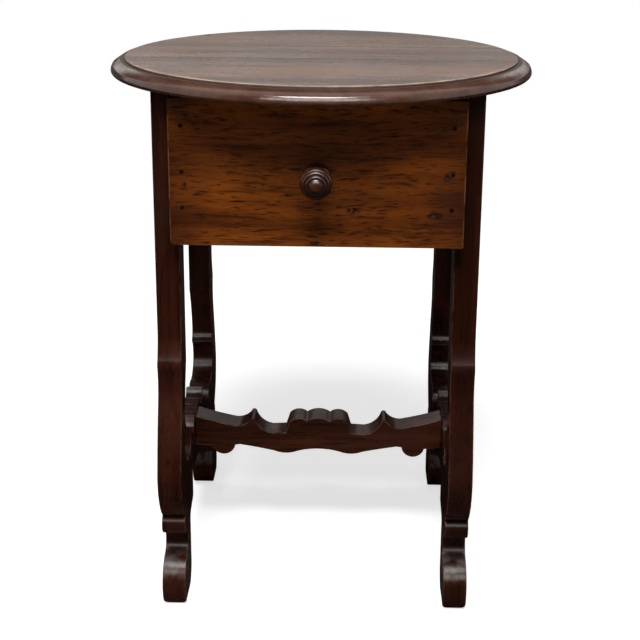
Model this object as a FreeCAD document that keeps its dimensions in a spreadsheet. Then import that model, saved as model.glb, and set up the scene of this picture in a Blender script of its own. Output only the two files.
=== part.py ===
import FreeCAD, Part
import os
import types
import Sketcher

# Round side table with one drawer. Millimetres, +Z up, the front faces -Y.
# The origin is on the floor under the middle of the top.

doc = FreeCAD.newDocument("RoundTable")

# Driving sizes
sizes = {
    # Top
    "tableHeight": 687,
    "topLength": 536,
    "topDepth": 552,
    "topThickness": 20,
    "rimWidth": 18,
    "rimDrop": 2.5,
    "rimSlopeWidth": 12,
    "rimSlopeDrop": 8,
    "noseRadius": 5,
    "underRadius": 4.5,
    "frontJointOffset": 44,
    "backJointOffset": 72,
    # Legs, sawn from plank to one outline
    "frameWidth": 390,
    "frameDepth": 352,
    "legThickness": 30,
    "legDepth": 38,
    # Leg outline, outer side, rises from the floor up
    "footRise": 62,
    "notchRise": 33,
    "roundelRise": 26,
    "bulgeRise": 158,
    "hollowRise": 49,
    "sweepRise": 34,
    # Leg outline, outer side, reaches from the straight face
    "toeReach": 22,
    "soleInset": 10,
    "notchInset": 20,
    "roundelReach": 11,
    "bulgeReach": 37,
    "hollowReach": 12,
    "crestReach": 11,
    # Leg outline, inner side
    "soleLength": 30,
    "heelRise": 38,
    "neckRise": 50,
    "neckReach": 44,
    "lobeReach": 78,
    "lobeUnderside": 108,
    "lobeEndRise": 42,
    "lobeTopRise": 32,
    "recessRise": 22,
    "recessReach": 10,
    "ledgeRise": 29,
    "ledgeReach": 26,
    "waistRise": 17,
    "waistReach": 15,
    "stemRise": 68,
    # Aprons and front rails
    "apronHeight": 176,
    "apronThickness": 18,
    "apronInset": 4,
    "tenonLength": 14,
    "tenonThickness": 8,
    "tenonShoulder": 20,
    "railSetback": 2,
    "railShoulder": 6,
    "upperRailHeight": 22,
    "lowerRailHeight": 16,
    # Drawer supports
    "runnerWidth": 25,
    "guideHeight": 20,
    "cleatWidth": 25,
    # Drawer
    "drawerOverlap": 8.5,
    "drawerFrontHeight": 176,
    "drawerFrontThickness": 20,
    "drawerFrontDrop": 5,
    "drawerSideThickness": 12,
    "drawerBackThickness": 12,
    "drawerBottomThickness": 8,
    "drawerBottomRise": 10,
    "drawerBackGap": 6,
    "housingDepth": 6,
    "grooveDepth": 5,
    # Knob
    "knobDrop": 90,
    "knobLength": 53,
    "knobRadius": 19,
    "knobNeckRadius": 9.5,
    "knobTenonRadius": 6,
    # Stretchers, heights from the floor
    "sideStretcherThickness": 24,
    "sideStretcherInset": 1,
    "sideHumpTop": 197,
    "sideValleyDrop": 4,
    "sideStepTop": 180,
    "sideCuspTop": 194,
    "sideUnderside": 126,
    "sideBellyDrop": 6,
    "crossStretcherThickness": 35,
    "crossHumpTop": 187,
    "crossValleyDrop": 5,
    "crossStepTop": 163,
    "crossCuspTop": 185,
    "crossEndTop": 187,
    "crossEndUnderside": 144,
    "crossLobeUnderside": 130,
    "crossArchUnderside": 140,
    "crossBellyUnderside": 133,
    "stretcherTenonLength": 16,
    "stretcherTenonThickness": 10,
    "stretcherTenonShoulder": 7,
    # Fasteners
    "pegRadius": 3.5,
    "pegLength": 24,
    "pegMargin": 25,
    "backPegMargin": 45,
    "nailRadius": 1.6,
    "nailHeadRadius": 2.6,
    "nailHeadThickness": 1.5,
    "frontNailLength": 45,
    "smallNailLength": 30,
    "runnerNailLength": 38,
    "nailMargin": 25,
    "frontNailMargin": 13,
    "screwRadius": 2.2,
    "screwHeadRadius": 4.5,
    "screwHeadHeight": 3,
    "screwLength": 34,
    "screwMargin": 20,
    # Fits
    "fitClearance": 0.2,
    "mortiseRelief": 1,
    "drawerRunClearance": 0.3,
    "drawerSideClearance": 1,
    "drawerTopClearance": 2,
    "drawerFrontClearance": 0.5,
}

sheet = doc.addObject("Spreadsheet::Sheet", "Sizes")
for row, (name, value) in enumerate(sizes.items(), 1):
    sheet.set(f"A{row}", name)
    sheet.set(f"B{row}", str(value))
    sheet.setAlias(f"B{row}", name)
doc.recompute()


class Length:
    # A length, as its number and as the sheet formula that gives it.
    def __init__(self, number, formula):
        self.number = number
        self.formula = formula

    def __add__(self, other):
        other = asLength(other)
        return Length(self.number + other.number, f"({self.formula} + {other.formula})")

    def __sub__(self, other):
        other = asLength(other)
        return Length(self.number - other.number, f"({self.formula} - {other.formula})")

    def __mul__(self, factor):
        return Length(self.number * factor, f"({self.formula} * {factor})")

    def __truediv__(self, divisor):
        return Length(self.number / divisor, f"({self.formula} / {divisor})")

    def __neg__(self):
        return Length(-self.number, f"(-{self.formula})")


def asLength(value):
    if isinstance(value, Length):
        return value
    return Length(float(value), str(float(value)))


def between(start, end, share):
    # The point that lies a share of the way from start to end.
    return asLength(start) + (asLength(end) - start) * share


size = types.SimpleNamespace(
    **{name: Length(float(sheet.get(name)), f"Sizes.{name}") for name in sizes}
)
zero = asLength(0)
sides = {"left": -1, "right": 1}
kept = {}


def keep(item, label, solids=1):
    # Names a finished sub-part and notes how many solids it holds.
    item.Label = label
    kept[label] = (item, solids)
    return item


def bind(item, **lengths):
    for name, length in lengths.items():
        item.setExpression(name, asLength(length).formula)


def place(item, x, y, z, rotation=None):
    if rotation:
        item.Placement = FreeCAD.Placement(FreeCAD.Vector(), rotation)
    for axis, length in zip("xyz", (x, y, z)):
        item.setExpression(f"Placement.Base.{axis}", asLength(length).formula)


def towards(x, y, z):
    # The turn that points +Z along a direction.
    return FreeCAD.Rotation(FreeCAD.Vector(0, 0, 1), FreeCAD.Vector(x, y, z))


def block(name, xSpan, ySpan, zSpan):
    item = doc.addObject("Part::Box", name)
    length, width, height = [asLength(end) - start for start, end in (xSpan, ySpan, zSpan)]
    bind(item, Length=length, Width=width, Height=height)
    place(item, xSpan[0], ySpan[0], zSpan[0])
    return item


def rod(name, radius, length, at, direction):
    item = doc.addObject("Part::Cylinder", name)
    bind(item, Radius=radius, Height=length)
    place(item, *at, rotation=towards(*direction))
    return item


def taper(name, startRadius, endRadius, length, at, direction):
    item = doc.addObject("Part::Cone", name)
    bind(item, Radius1=startRadius, Radius2=endRadius, Height=length)
    place(item, *at, rotation=towards(*direction))
    return item


def fused(name, pieces):
    if len(pieces) == 1:
        return pieces[0]
    item = doc.addObject("Part::MultiFuse", name)
    item.Shapes = pieces
    return item


def grouped(label, pieces):
    item = doc.addObject("Part::Compound", label)
    item.Links = pieces
    return keep(item, label, len(pieces))


def carved(label, blank, cutters):
    item = doc.addObject("Part::Cut", label)
    item.Base = blank
    item.Tool = fused(f"{label}_cutter", cutters)
    return keep(item, label)


def common(label, first, second):
    item = doc.addObject("Part::Common", label)
    item.Base = first
    item.Tool = second
    return item


def onSide(side, near, far):
    # A span across X on one side of the middle.
    return (near, far) if side > 0 else (-far, -near)


def widened(span, clearance):
    start, end = span
    return (asLength(start) - clearance, asLength(end) + clearance)


# Sketched outlines. A step is (end,) for a straight run or (via, end) for an arc.

def originPlane(body, role):
    return next(plane for plane in body.Origin.OriginFeatures if plane.Role == role)


def newSketch(body, role, name):
    sketch = body.newObject("Sketcher::SketchObject", name)
    sketch.AttachmentSupport = [(originPlane(body, role), "")]
    sketch.MapMode = "FlatFace"
    return sketch


def vector(point):
    across, up = point
    return FreeCAD.Vector(asLength(across).number, asLength(up).number, 0)


def fixPoint(sketch, geometry, position, point, name):
    # Ties one sketch point to the sheet, or to an axis where a coordinate is nought.
    kinds = (("DistanceX", "across", -2), ("DistanceY", "up", -1))
    for (kind, word, axis), length in zip(kinds, map(asLength, point)):
        if length.formula == zero.formula:
            sketch.addConstraint(Sketcher.Constraint("PointOnObject", geometry, position, axis))
            continue
        tie = Sketcher.Constraint(kind, -1, 1, geometry, position, length.number)
        index = sketch.addConstraint(tie)
        sketch.renameConstraint(index, f"{word}{name}")
        if "Sizes." in length.formula:
            sketch.setExpression(f"Constraints.{word}{name}", length.formula)


def drawOutline(sketch, start, steps):
    # Draws a closed outline that ends where it starts.
    runs = []
    here = start
    for number, step in enumerate(steps):
        end = step[-1]
        if len(step) == 1:
            curve = sketch.addGeometry(Part.LineSegment(vector(here), vector(end)), False)
        else:
            arc = Part.Arc(vector(here), vector(step[0]), vector(end))
            curve = sketch.addGeometry(arc, False)
        first = sketch.getPoint(curve, 1)
        forward = first.distanceToPoint(vector(here)) < first.distanceToPoint(vector(end))
        runs.append((curve, 1 if forward else 2, 2 if forward else 1))
        if len(step) == 2:
            middle = sketch.addGeometry(Part.Point(vector(step[0])), True)
            sketch.addConstraint(Sketcher.Constraint("PointOnObject", middle, 1, curve))
            fixPoint(sketch, middle, 1, step[0], f"Via{number}")
        here = end
    for number, (curve, first, last) in enumerate(runs):
        nextCurve, nextFirst, nextLast = runs[(number + 1) % len(runs)]
        meeting = Sketcher.Constraint("Coincident", curve, last, nextCurve, nextFirst)
        sketch.addConstraint(meeting)
        fixPoint(sketch, curve, last, steps[number][-1], f"Point{number}")


def walkedBack(start, steps):
    # The same steps walked backwards on the other side of the middle line.
    ends = [start] + [step[-1] for step in steps]
    back = []
    for number in reversed(range(len(steps))):
        points = list(steps[number][:-1]) + [ends[number]]
        back.append(tuple((-asLength(across), up) for across, up in points))
    return back


def padded(body, sketch, length):
    pad = body.newObject("PartDesign::Pad", f"{body.Name}_pad")
    pad.Profile = sketch
    bind(pad, Length=length)
    return pad


# Levels and faces that several pieces share
legTop = size.tableHeight - size.topThickness
legOuter = size.frameWidth / 2
legInner = legOuter - size.legThickness
legFront = size.frameDepth / 2
legBack = legFront - size.legDepth
apronBottom = legTop - size.apronHeight
apronOuter = legOuter - size.apronInset
apronInner = apronOuter - size.apronThickness
backApronOuter = legFront - size.apronInset
backApronInner = backApronOuter - size.apronThickness
drawerFloor = apronBottom + size.lowerRailHeight
drawerCeiling = legTop - size.upperRailHeight
apronSpan = (apronBottom, legTop)
apronTenonSpan = (apronBottom + size.tenonShoulder, legTop - size.tenonShoulder)
overrun = size.mortiseRelief

# Cutters for each piece, gathered as its neighbours and fasteners are made
cutters = {}


def addCutter(label, cutter):
    cutters.setdefault(label, []).append(cutter)


# Fasteners: each has its own solid and one hole that every piece in its way is cut by
groups = {}


def peg(group, at, direction, labels):
    number = len(groups.setdefault(group, [])) + 1
    pin = rod(f"{group}_{number}", size.pegRadius, size.pegLength, at, direction)
    holeRadius = size.pegRadius + size.fitClearance
    hole = rod(f"{group}_hole_{number}", holeRadius, size.pegLength, at, direction)
    groups[group].append(pin)
    for label in labels:
        addCutter(label, hole)


def nail(group, length, at, direction, labels):
    number = len(groups.setdefault(group, [])) + 1
    shank = rod(f"{group}_shank_{number}", size.nailRadius, length, at, direction)
    head = rod(f"{group}_head_{number}", size.nailHeadRadius, size.nailHeadThickness, at, direction)
    groups[group].append(fused(f"{group}_{number}", [shank, head]))
    clearance = size.fitClearance
    bore = rod(f"{group}_bore_{number}", size.nailRadius + clearance, length, at, direction)
    seat = rod(
        f"{group}_seat_{number}",
        size.nailHeadRadius + clearance,
        size.nailHeadThickness,
        at,
        direction,
    )
    hole = fused(f"{group}_hole_{number}", [bore, seat])
    for label in labels:
        addCutter(label, hole)


def screw(group, at, labels):
    number = len(groups.setdefault(group, [])) + 1
    up = (0, 0, 1)
    shank = rod(f"{group}_shank_{number}", size.screwRadius, size.screwLength, at, up)
    head = taper(
        f"{group}_head_{number}",
        size.screwHeadRadius,
        size.screwRadius,
        size.screwHeadHeight,
        at,
        up,
    )
    groups[group].append(fused(f"{group}_{number}", [shank, head]))
    boreRadius = size.screwRadius + size.fitClearance
    seatRadius = size.screwHeadRadius + size.fitClearance
    bore = rod(f"{group}_bore_{number}", boreRadius, size.screwLength, at, up)
    seat = taper(
        f"{group}_seat_{number}", seatRadius, boreRadius, size.screwHeadHeight, at, up
    )
    hole = fused(f"{group}_hole_{number}", [bore, seat])
    for label in labels:
        addCutter(label, hole)


# Legs: the outline lies in the side plane, across is measured inwards from the straight outer face

def legOutline():
    notchBottom = size.footRise
    roundelBottom = notchBottom + size.notchRise
    roundelTop = roundelBottom + size.roundelRise
    bulgeTop = roundelTop + size.bulgeRise
    bulgeWidest = between(roundelTop, bulgeTop, 0.42)
    crest = bulgeTop + size.hollowRise
    sweepTop = crest + size.sweepRise
    neckTop = size.heelRise + size.neckRise
    lobeEnd = size.lobeUnderside + size.lobeEndRise
    lobeTop = lobeEnd + size.lobeTopRise
    recess = lobeTop + size.recessRise
    ledge = recess + size.ledgeRise
    waist = ledge + size.waistRise
    stem = waist + size.stemRise
    soleFront = -(size.toeReach - size.soleInset)
    soleBack = soleFront + size.soleLength
    nick = size.roundelReach * 0.3
    lobeShoulder = between(size.neckReach, size.lobeReach, 0.15)
    lobeCrown = between(size.recessReach, size.lobeReach, 0.62)
    start = (zero, legTop)
    steps = [
        ((zero, sweepTop),),
        (
            (-size.crestReach * 0.4, between(crest, sweepTop, 0.48)),
            (-size.crestReach, crest),
        ),
        (
            (-size.hollowReach * 0.65, between(bulgeTop, crest, 0.5)),
            (-size.hollowReach, bulgeTop),
        ),
        (
            (-between(size.hollowReach, size.bulgeReach, 0.58), between(bulgeWidest, bulgeTop, 0.5)),
            (-size.bulgeReach, bulgeWidest),
        ),
        (
            (-between(nick, size.bulgeReach, 0.79), between(roundelTop, bulgeWidest, 0.5)),
            (-nick, roundelTop),
        ),
        (
            (-size.roundelReach, between(roundelBottom, roundelTop, 0.48)),
            (nick, roundelBottom),
        ),
        (
            (size.notchInset, between(notchBottom, roundelBottom, 0.55)),
            (size.notchInset * 0.6, notchBottom),
        ),
        (
            (-size.toeReach, size.footRise * 0.4),
            (soleFront, zero),
        ),
        ((soleBack, zero),),
        (
            (between(soleBack, size.neckReach, 0.72), size.heelRise * 0.3),
            (size.neckReach, size.heelRise),
        ),
        ((size.neckReach, neckTop),),
        (
            (between(size.neckReach, lobeShoulder, 0.3), between(neckTop, size.lobeUnderside, 0.45)),
            (lobeShoulder, between(neckTop, size.lobeUnderside, 0.6)),
        ),
        ((size.lobeReach, size.lobeUnderside),),
        ((size.lobeReach, lobeEnd),),
        (
            (between(lobeCrown, size.lobeReach, 0.68), between(lobeEnd, lobeTop, 0.72)),
            (lobeCrown, lobeTop),
        ),
        (
            (between(size.recessReach, lobeCrown, 0.26), between(lobeTop, recess, 0.22)),
            (size.recessReach, recess),
        ),
        (
            (between(size.recessReach, size.ledgeReach, 0.22), between(recess, ledge, 0.62)),
            (size.ledgeReach, ledge),
        ),
        (
            (between(size.waistReach, size.ledgeReach, 0.22), between(ledge, waist, 0.45)),
            (size.waistReach, waist),
        ),
        (
            (between(size.waistReach, size.legDepth, 0.34), between(waist, stem, 0.52)),
            (size.legDepth, stem),
        ),
        ((size.legDepth, legTop),),
        (start,),
    ]
    return start, steps


def legBlank(label, side, rear):
    body = doc.addObject("PartDesign::Body", f"{label}_blank")
    sketch = newSketch(body, "YZ_Plane", f"{label}_outline")
    drawOutline(sketch, *legOutline())
    padded(body, sketch, size.legThickness)
    turned = FreeCAD.Rotation(FreeCAD.Vector(0, 0, 1), 180 if rear else 0)
    lowFace = legOuter if side > 0 else -legInner
    highFace = legInner if side > 0 else -legOuter
    place(body, lowFace if rear else highFace, legFront if rear else -legFront, zero, turned)
    return body


# Boards with a tenon at each end, and the mortises that take them

def sideApron(word, side):
    label = f"apron_{word}"
    tenonMiddle = (apronInner + apronOuter) / 2
    halfTenon = size.tenonThickness / 2
    across = onSide(side, tenonMiddle - halfTenon, tenonMiddle + halfTenon)
    pieces = [
        block(f"{label}_board", onSide(side, apronInner, apronOuter), (-legBack, legBack), apronSpan)
    ]
    for place_, front in (("front", -1), ("rear", 1)):
        leg = f"leg_{place_}_{word}"
        tenonEnd = legBack + size.tenonLength
        span = onSide(front, legBack, tenonEnd)
        pieces.append(block(f"{label}_tenon_{place_}", across, span, apronTenonSpan))
        mortise = block(
            f"{label}_mortise_{place_}",
            widened(across, size.fitClearance),
            onSide(front, legBack - overrun, tenonEnd + size.mortiseRelief),
            widened(apronTenonSpan, size.fitClearance),
        )
        addCutter(leg, mortise)
        pegPlace = (legBack + size.tenonLength / 2) * front
        for height in (
            apronTenonSpan[0] + size.pegMargin,
            apronTenonSpan[1] - size.pegMargin,
        ):
            peg("apron_pegs", (legOuter * side, pegPlace, height), (-side, 0, 0), (leg, label))
    return fused(f"{label}_blank", pieces)


def backApron():
    label = "apron_back"
    tenonMiddle = (backApronInner + backApronOuter) / 2
    halfTenon = size.tenonThickness / 2
    depth = (tenonMiddle - halfTenon, tenonMiddle + halfTenon)
    pieces = [
        block(f"{label}_board", (-legInner, legInner), (backApronInner, backApronOuter), apronSpan)
    ]
    for word, side in sides.items():
        leg = f"leg_rear_{word}"
        tenonEnd = legInner + size.tenonLength
        pieces.append(
            block(f"{label}_tenon_{word}", onSide(side, legInner, tenonEnd), depth, apronTenonSpan)
        )
        mortise = block(
            f"{label}_mortise_{word}",
            onSide(side, legInner - overrun, tenonEnd + size.mortiseRelief),
            widened(depth, size.fitClearance),
            widened(apronTenonSpan, size.fitClearance),
        )
        addCutter(leg, mortise)
        pegPlace = (legInner + size.tenonLength / 2) * side
        for height in (
            apronTenonSpan[0] + size.backPegMargin,
            apronTenonSpan[1] - size.backPegMargin,
        ):
            peg("apron_pegs", (pegPlace, legFront, height), (0, -1, 0), (leg, label))
    return fused(f"{label}_blank", pieces)


def frontRail(label, bottom, top):
    depth = (-legFront + size.railSetback, -legBack)
    tenonDepth = (depth[0] + size.railShoulder, depth[1] - size.railShoulder)
    tenonMiddle = (bottom + top) / 2
    halfTenon = size.tenonThickness / 2
    tenonSpan = (tenonMiddle - halfTenon, tenonMiddle + halfTenon)
    pieces = [block(f"{label}_board", (-legInner, legInner), depth, (bottom, top))]
    for word, side in sides.items():
        tenonEnd = legInner + size.tenonLength
        across = onSide(side, legInner, tenonEnd)
        pieces.append(block(f"{label}_tenon_{word}", across, tenonDepth, tenonSpan))
        mortise = block(
            f"{label}_mortise_{word}",
            onSide(side, legInner - overrun, tenonEnd + size.mortiseRelief),
            widened(tenonDepth, size.fitClearance),
            widened(tenonSpan, size.fitClearance),
        )
        addCutter(f"leg_front_{word}", mortise)
    return fused(f"{label}_blank", pieces)


# Stretchers: ornament is laid out in shares of the stretcher's own half length

def sideStretcher(word, side):
    label = f"side_stretcher_{word}"
    half = legFront - size.lobeReach
    endTop = size.lobeUnderside + size.lobeEndRise
    valley = size.sideHumpTop - size.sideValleyDrop
    outer = legOuter - size.sideStretcherInset
    inner = outer - size.sideStretcherThickness
    start = (half * 0.13, valley)
    steps = [
        ((half * 0.23, between(size.sideHumpTop, valley, 0.25)), (half * 0.32, valley)),
        ((half * 0.37, size.sideStepTop),),
        ((half * 0.48, size.sideStepTop - size.sideValleyDrop / 4),),
        (
            (half * 0.63, between(size.sideStepTop, size.sideCuspTop, 0.2)),
            (half * 0.73, size.sideCuspTop),
        ),
        ((half * 0.82, between(endTop, size.sideCuspTop, 0.26)), (half, endTop)),
        ((half, size.lobeUnderside),),
        (
            (half * 0.8, between(size.lobeUnderside, size.sideUnderside, 0.42)),
            (half * 0.58, size.sideUnderside),
        ),
    ]
    belly = ((zero, size.sideUnderside - size.sideBellyDrop), (-half * 0.58, size.sideUnderside))
    crown = ((zero, size.sideHumpTop), start)
    body = doc.addObject("PartDesign::Body", f"{label}_body")
    sketch = newSketch(body, "YZ_Plane", f"{label}_outline")
    drawOutline(sketch, start, steps + [belly] + walkedBack(start, steps) + [crown])
    padded(body, sketch, size.sideStretcherThickness)
    across = onSide(side, inner, outer)
    place(body, across[0], zero, zero)
    pieces = [body]
    tenonMiddle = (inner + outer) / 2
    halfTenon = size.stretcherTenonThickness / 2
    tenonAcross = onSide(side, tenonMiddle - halfTenon, tenonMiddle + halfTenon)
    tenonSpan = (
        size.lobeUnderside + size.stretcherTenonShoulder,
        endTop - size.stretcherTenonShoulder,
    )
    for place_, front in (("front", -1), ("rear", 1)):
        leg = f"leg_{place_}_{word}"
        tenonEnd = half + size.stretcherTenonLength
        span = onSide(front, half, tenonEnd)
        pieces.append(block(f"{label}_tenon_{place_}", tenonAcross, span, tenonSpan))
        mortise = block(
            f"{label}_mortise_{place_}",
            widened(tenonAcross, size.fitClearance),
            onSide(front, half - overrun, tenonEnd + size.mortiseRelief),
            widened(tenonSpan, size.fitClearance),
        )
        addCutter(leg, mortise)
        pegPlace = (half + size.stretcherTenonLength / 2) * front
        height = (tenonSpan[0] + tenonSpan[1]) / 2
        peg("stretcher_pegs", (legOuter * side, pegPlace, height), (-side, 0, 0), (leg, label))
    return fused(f"{label}_blank", pieces)


def crossStretcher():
    label = "cross_stretcher"
    half = legOuter - size.sideStretcherInset - size.sideStretcherThickness
    valley = size.crossHumpTop - size.crossValleyDrop
    bellySide = between(size.crossBellyUnderside, size.crossArchUnderside, 0.45)
    start = (half * 0.094, valley)
    steps = [
        (
            (half * 0.17, between(size.crossHumpTop, valley, 0.2)),
            (half * 0.238, valley - size.crossValleyDrop * 0.4),
        ),
        ((half * 0.268, size.crossStepTop + size.crossValleyDrop / 5),),
        ((half * 0.37, size.crossStepTop),),
        (
            (half * 0.462, between(size.crossStepTop, size.crossCuspTop, 0.3)),
            (half * 0.512, between(size.crossStepTop, size.crossCuspTop, 0.88)),
        ),
        (
            (half * 0.532, size.crossCuspTop),
            (half * 0.556, between(size.crossStepTop, size.crossCuspTop, 0.86)),
        ),
        (
            (half * 0.605, between(size.crossStepTop, size.crossCuspTop, 0.56)),
            (half * 0.68, between(size.crossStepTop, size.crossCuspTop, 0.46)),
        ),
        (
            (half * 0.84, between(size.crossStepTop, size.crossEndTop, 0.68)),
            (half, size.crossEndTop),
        ),
        ((half, size.crossEndUnderside),),
        ((half * 0.865, between(size.crossEndUnderside, size.crossLobeUnderside, 0.14)),),
        ((half * 0.775, size.crossLobeUnderside), (half * 0.68, size.crossEndUnderside)),
        ((half * 0.64, between(size.crossEndUnderside, size.crossLobeUnderside, -0.07)),),
        (
            (half * 0.5, between(size.crossBellyUnderside, size.crossEndUnderside, 0.72)),
            (half * 0.36, bellySide),
        ),
        ((half * 0.27, size.crossBellyUnderside), (half * 0.17, bellySide)),
    ]
    arch = ((zero, size.crossArchUnderside), (-half * 0.17, bellySide))
    crown = ((zero, size.crossHumpTop), start)
    body = doc.addObject("PartDesign::Body", f"{label}_body")
    sketch = newSketch(body, "XZ_Plane", f"{label}_outline")
    drawOutline(sketch, start, steps + [arch] + walkedBack(start, steps) + [crown])
    padded(body, sketch, size.crossStretcherThickness)
    place(body, zero, size.crossStretcherThickness / 2, zero)
    pieces = [body]
    halfTenon = size.stretcherTenonThickness / 2
    tenonDepth = (-halfTenon, halfTenon)
    tenonSpan = (
        size.crossEndUnderside + size.stretcherTenonShoulder,
        size.crossEndTop - size.stretcherTenonShoulder,
    )
    for word, side in sides.items():
        tenonEnd = half + size.stretcherTenonLength
        across = onSide(side, half, tenonEnd)
        pieces.append(block(f"{label}_tenon_{word}", across, tenonDepth, tenonSpan))
        mortise = block(
            f"{label}_mortise_{word}",
            onSide(side, half - overrun, tenonEnd + size.mortiseRelief),
            widened(tenonDepth, size.fitClearance),
            widened(tenonSpan, size.fitClearance),
        )
        addCutter(f"side_stretcher_{word}", mortise)
    return keep(fused(label, pieces), label)


# Top: a slab a little out of round, with a raised field and a sloped rim, in three boards

def ovalSketch(body, name, length, depth, height):
    sketch = newSketch(body, "XY_Plane", name)
    sketch.setExpression("AttachmentOffset.Base.z", asLength(height).formula)
    longest, shortest = length, depth
    lie = "Horizontal"
    along = FreeCAD.Vector(1, 0, 0)
    if depth.number > length.number:
        longest, shortest = depth, length
        lie = "Vertical"
        along = FreeCAD.Vector(0, 1, 0)
    square = FreeCAD.Vector(-along.y, along.x, 0)
    shape = Part.Ellipse(
        along * (longest.number / 2), square * (shortest.number / 2), FreeCAD.Vector()
    )
    oval = sketch.addGeometry(shape, False)
    sketch.exposeInternalGeometry(oval)
    longLine = oval + 1
    shortLine = oval + 2
    sketch.addConstraint(Sketcher.Constraint("Coincident", oval, 3, -1, 1))
    sketch.addConstraint(Sketcher.Constraint(lie, longLine))
    for line, word, span in ((longLine, "long", longest), (shortLine, "short", shortest)):
        index = sketch.addConstraint(Sketcher.Constraint("Distance", line, span.number))
        sketch.renameConstraint(index, f"{word}Axis")
        sketch.setExpression(f"Constraints.{word}Axis", span.formula)
    return sketch


def edgesAt(feature, height):
    shape = feature.Shape
    names = []
    for number, edge in enumerate(shape.Edges, 1):
        box = edge.BoundBox
        if abs(box.ZMin - height) < 0.01 and abs(box.ZMax - height) < 0.01:
            names.append((box.XLength, f"Edge{number}"))
    return max(names)[1]


def topOval():
    body = doc.addObject("PartDesign::Body", "top_oval")
    edgeThickness = size.topThickness - size.rimDrop
    slab = padded(body, ovalSketch(body, "top_rim", size.topLength, size.topDepth, 0), edgeThickness)
    fieldLength = size.topLength - size.rimWidth * 2
    fieldDepth = size.topDepth - size.rimWidth * 2
    fieldSketch = ovalSketch(body, "top_field", fieldLength, fieldDepth, edgeThickness)
    field = body.newObject("PartDesign::Pad", "top_field_pad")
    field.Profile = fieldSketch
    bind(field, Length=size.rimDrop)
    doc.recompute()
    slope = body.newObject("PartDesign::Chamfer", "top_slope")
    slope.Base = (field, [edgesAt(field, edgeThickness.number)])
    slope.ChamferType = "Two distances"
    slope.FlipDirection = True
    bind(slope, Size=size.rimSlopeWidth, Size2=size.rimSlopeDrop)
    doc.recompute()
    nose = body.newObject("PartDesign::Fillet", "top_nose")
    nose.Base = (slope, [edgesAt(slope, (edgeThickness - size.rimSlopeDrop).number)])
    bind(nose, Radius=size.noseRadius)
    doc.recompute()
    under = body.newObject("PartDesign::Fillet", "top_under")
    under.Base = (nose, [edgesAt(nose, 0)])
    bind(under, Radius=size.underRadius)
    body.Tip = under
    place(body, zero, zero, legTop)
    return body


def topBoards():
    oval = topOval()
    across = (-size.topLength / 2, size.topLength / 2)
    through = (legTop - overrun, size.tableHeight + overrun)
    edge = size.topDepth / 2
    spans = {
        "front": (-edge, -size.frontJointOffset),
        "middle": (-size.frontJointOffset, size.backJointOffset),
        "back": (size.backJointOffset, edge),
    }
    screwPlaces = {
        "front": -size.frontJointOffset - size.screwMargin,
        "middle": (size.backJointOffset - size.frontJointOffset) / 2,
        "back": size.backJointOffset + size.screwMargin,
    }
    for word, depth in spans.items():
        label = f"top_board_{word}"
        plank = block(f"{label}_plank", widened(across, overrun), depth, through)
        blank = common(f"{label}_blank", oval, plank)
        blank.Refine = False  # refining would join faces across the seam of the oval
        for sideWord, side in sides.items():
            at = ((apronInner - size.cleatWidth / 2) * side, screwPlaces[word], drawerCeiling)
            screw("top_screws", at, (label, f"top_cleat_{sideWord}"))
        carved(label, blank, cutters[label]).Refine = False


# Drawer
drawerBase = drawerFloor + size.drawerRunClearance
drawerTop = drawerCeiling - size.drawerTopClearance
drawerOuter = legInner - size.drawerSideClearance
drawerInner = drawerOuter - size.drawerSideThickness
frontBack = -legFront - size.drawerFrontClearance
frontTop = legTop - size.drawerFrontDrop
knobHeight = frontTop - size.knobDrop
frontFace = frontBack - size.drawerFrontThickness
drawerRear = backApronInner - size.drawerBackGap
bottomSpan = (
    drawerBase + size.drawerBottomRise,
    drawerBase + size.drawerBottomRise + size.drawerBottomThickness,
)


def drawerFrontBoard():
    label = "drawer_front"
    halfWidth = legInner + size.drawerOverlap
    blank = block(
        f"{label}_board",
        (-halfWidth, halfWidth),
        (frontFace, frontBack),
        (frontTop - size.drawerFrontHeight, frontTop),
    )
    for word, side in sides.items():
        housing = block(
            f"{label}_housing_{word}",
            widened(onSide(side, drawerInner, drawerOuter), size.fitClearance),
            (frontBack - size.housingDepth, frontBack + overrun),
            widened((drawerBase, drawerTop), size.fitClearance),
        )
        addCutter(label, housing)
    groove = block(
        f"{label}_groove",
        (-drawerInner, drawerInner),
        (frontBack - size.grooveDepth, frontBack + overrun),
        widened(bottomSpan, size.fitClearance),
    )
    addCutter(label, groove)
    knobHole = rod(
        f"{label}_knob_hole",
        size.knobTenonRadius + size.fitClearance,
        size.drawerFrontThickness,
        (zero, frontFace, knobHeight),
        (0, 1, 0),
    )
    addCutter(label, knobHole)
    return blank


def drawerSide(word, side):
    label = f"drawer_side_{word}"
    span = onSide(side, drawerInner, drawerOuter)
    front = frontBack - size.housingDepth
    blank = block(f"{label}_board", span, (front, drawerRear), (drawerBase, drawerTop))
    groove = block(
        f"{label}_groove",
        onSide(side, drawerInner - overrun, drawerInner + size.grooveDepth),
        (front - overrun, drawerRear + overrun),
        widened(bottomSpan, size.fitClearance),
    )
    addCutter(label, groove)
    sideMiddle = (drawerInner + drawerOuter) / 2 * side
    for height in (
        drawerBase + size.nailMargin,
        (drawerBase + drawerTop) / 2,
        drawerTop - size.frontNailMargin,
    ):
        at = (sideMiddle, frontFace, height)
        nail("drawer_front_nails", size.frontNailLength, at, (0, 1, 0), (label, "drawer_front"))
    backMiddle = drawerRear - size.drawerBackThickness / 2
    for height in (bottomSpan[1] + size.nailMargin, drawerTop - size.nailMargin):
        at = (drawerOuter * side, backMiddle, height)
        nail("drawer_back_nails", size.smallNailLength, at, (-side, 0, 0), (label, "drawer_back"))
    return blank


def drawerBackBoard():
    return block(
        "drawer_back_board",
        (-drawerInner, drawerInner),
        (drawerRear - size.drawerBackThickness, drawerRear),
        (bottomSpan[1], drawerTop),
    )


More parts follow.
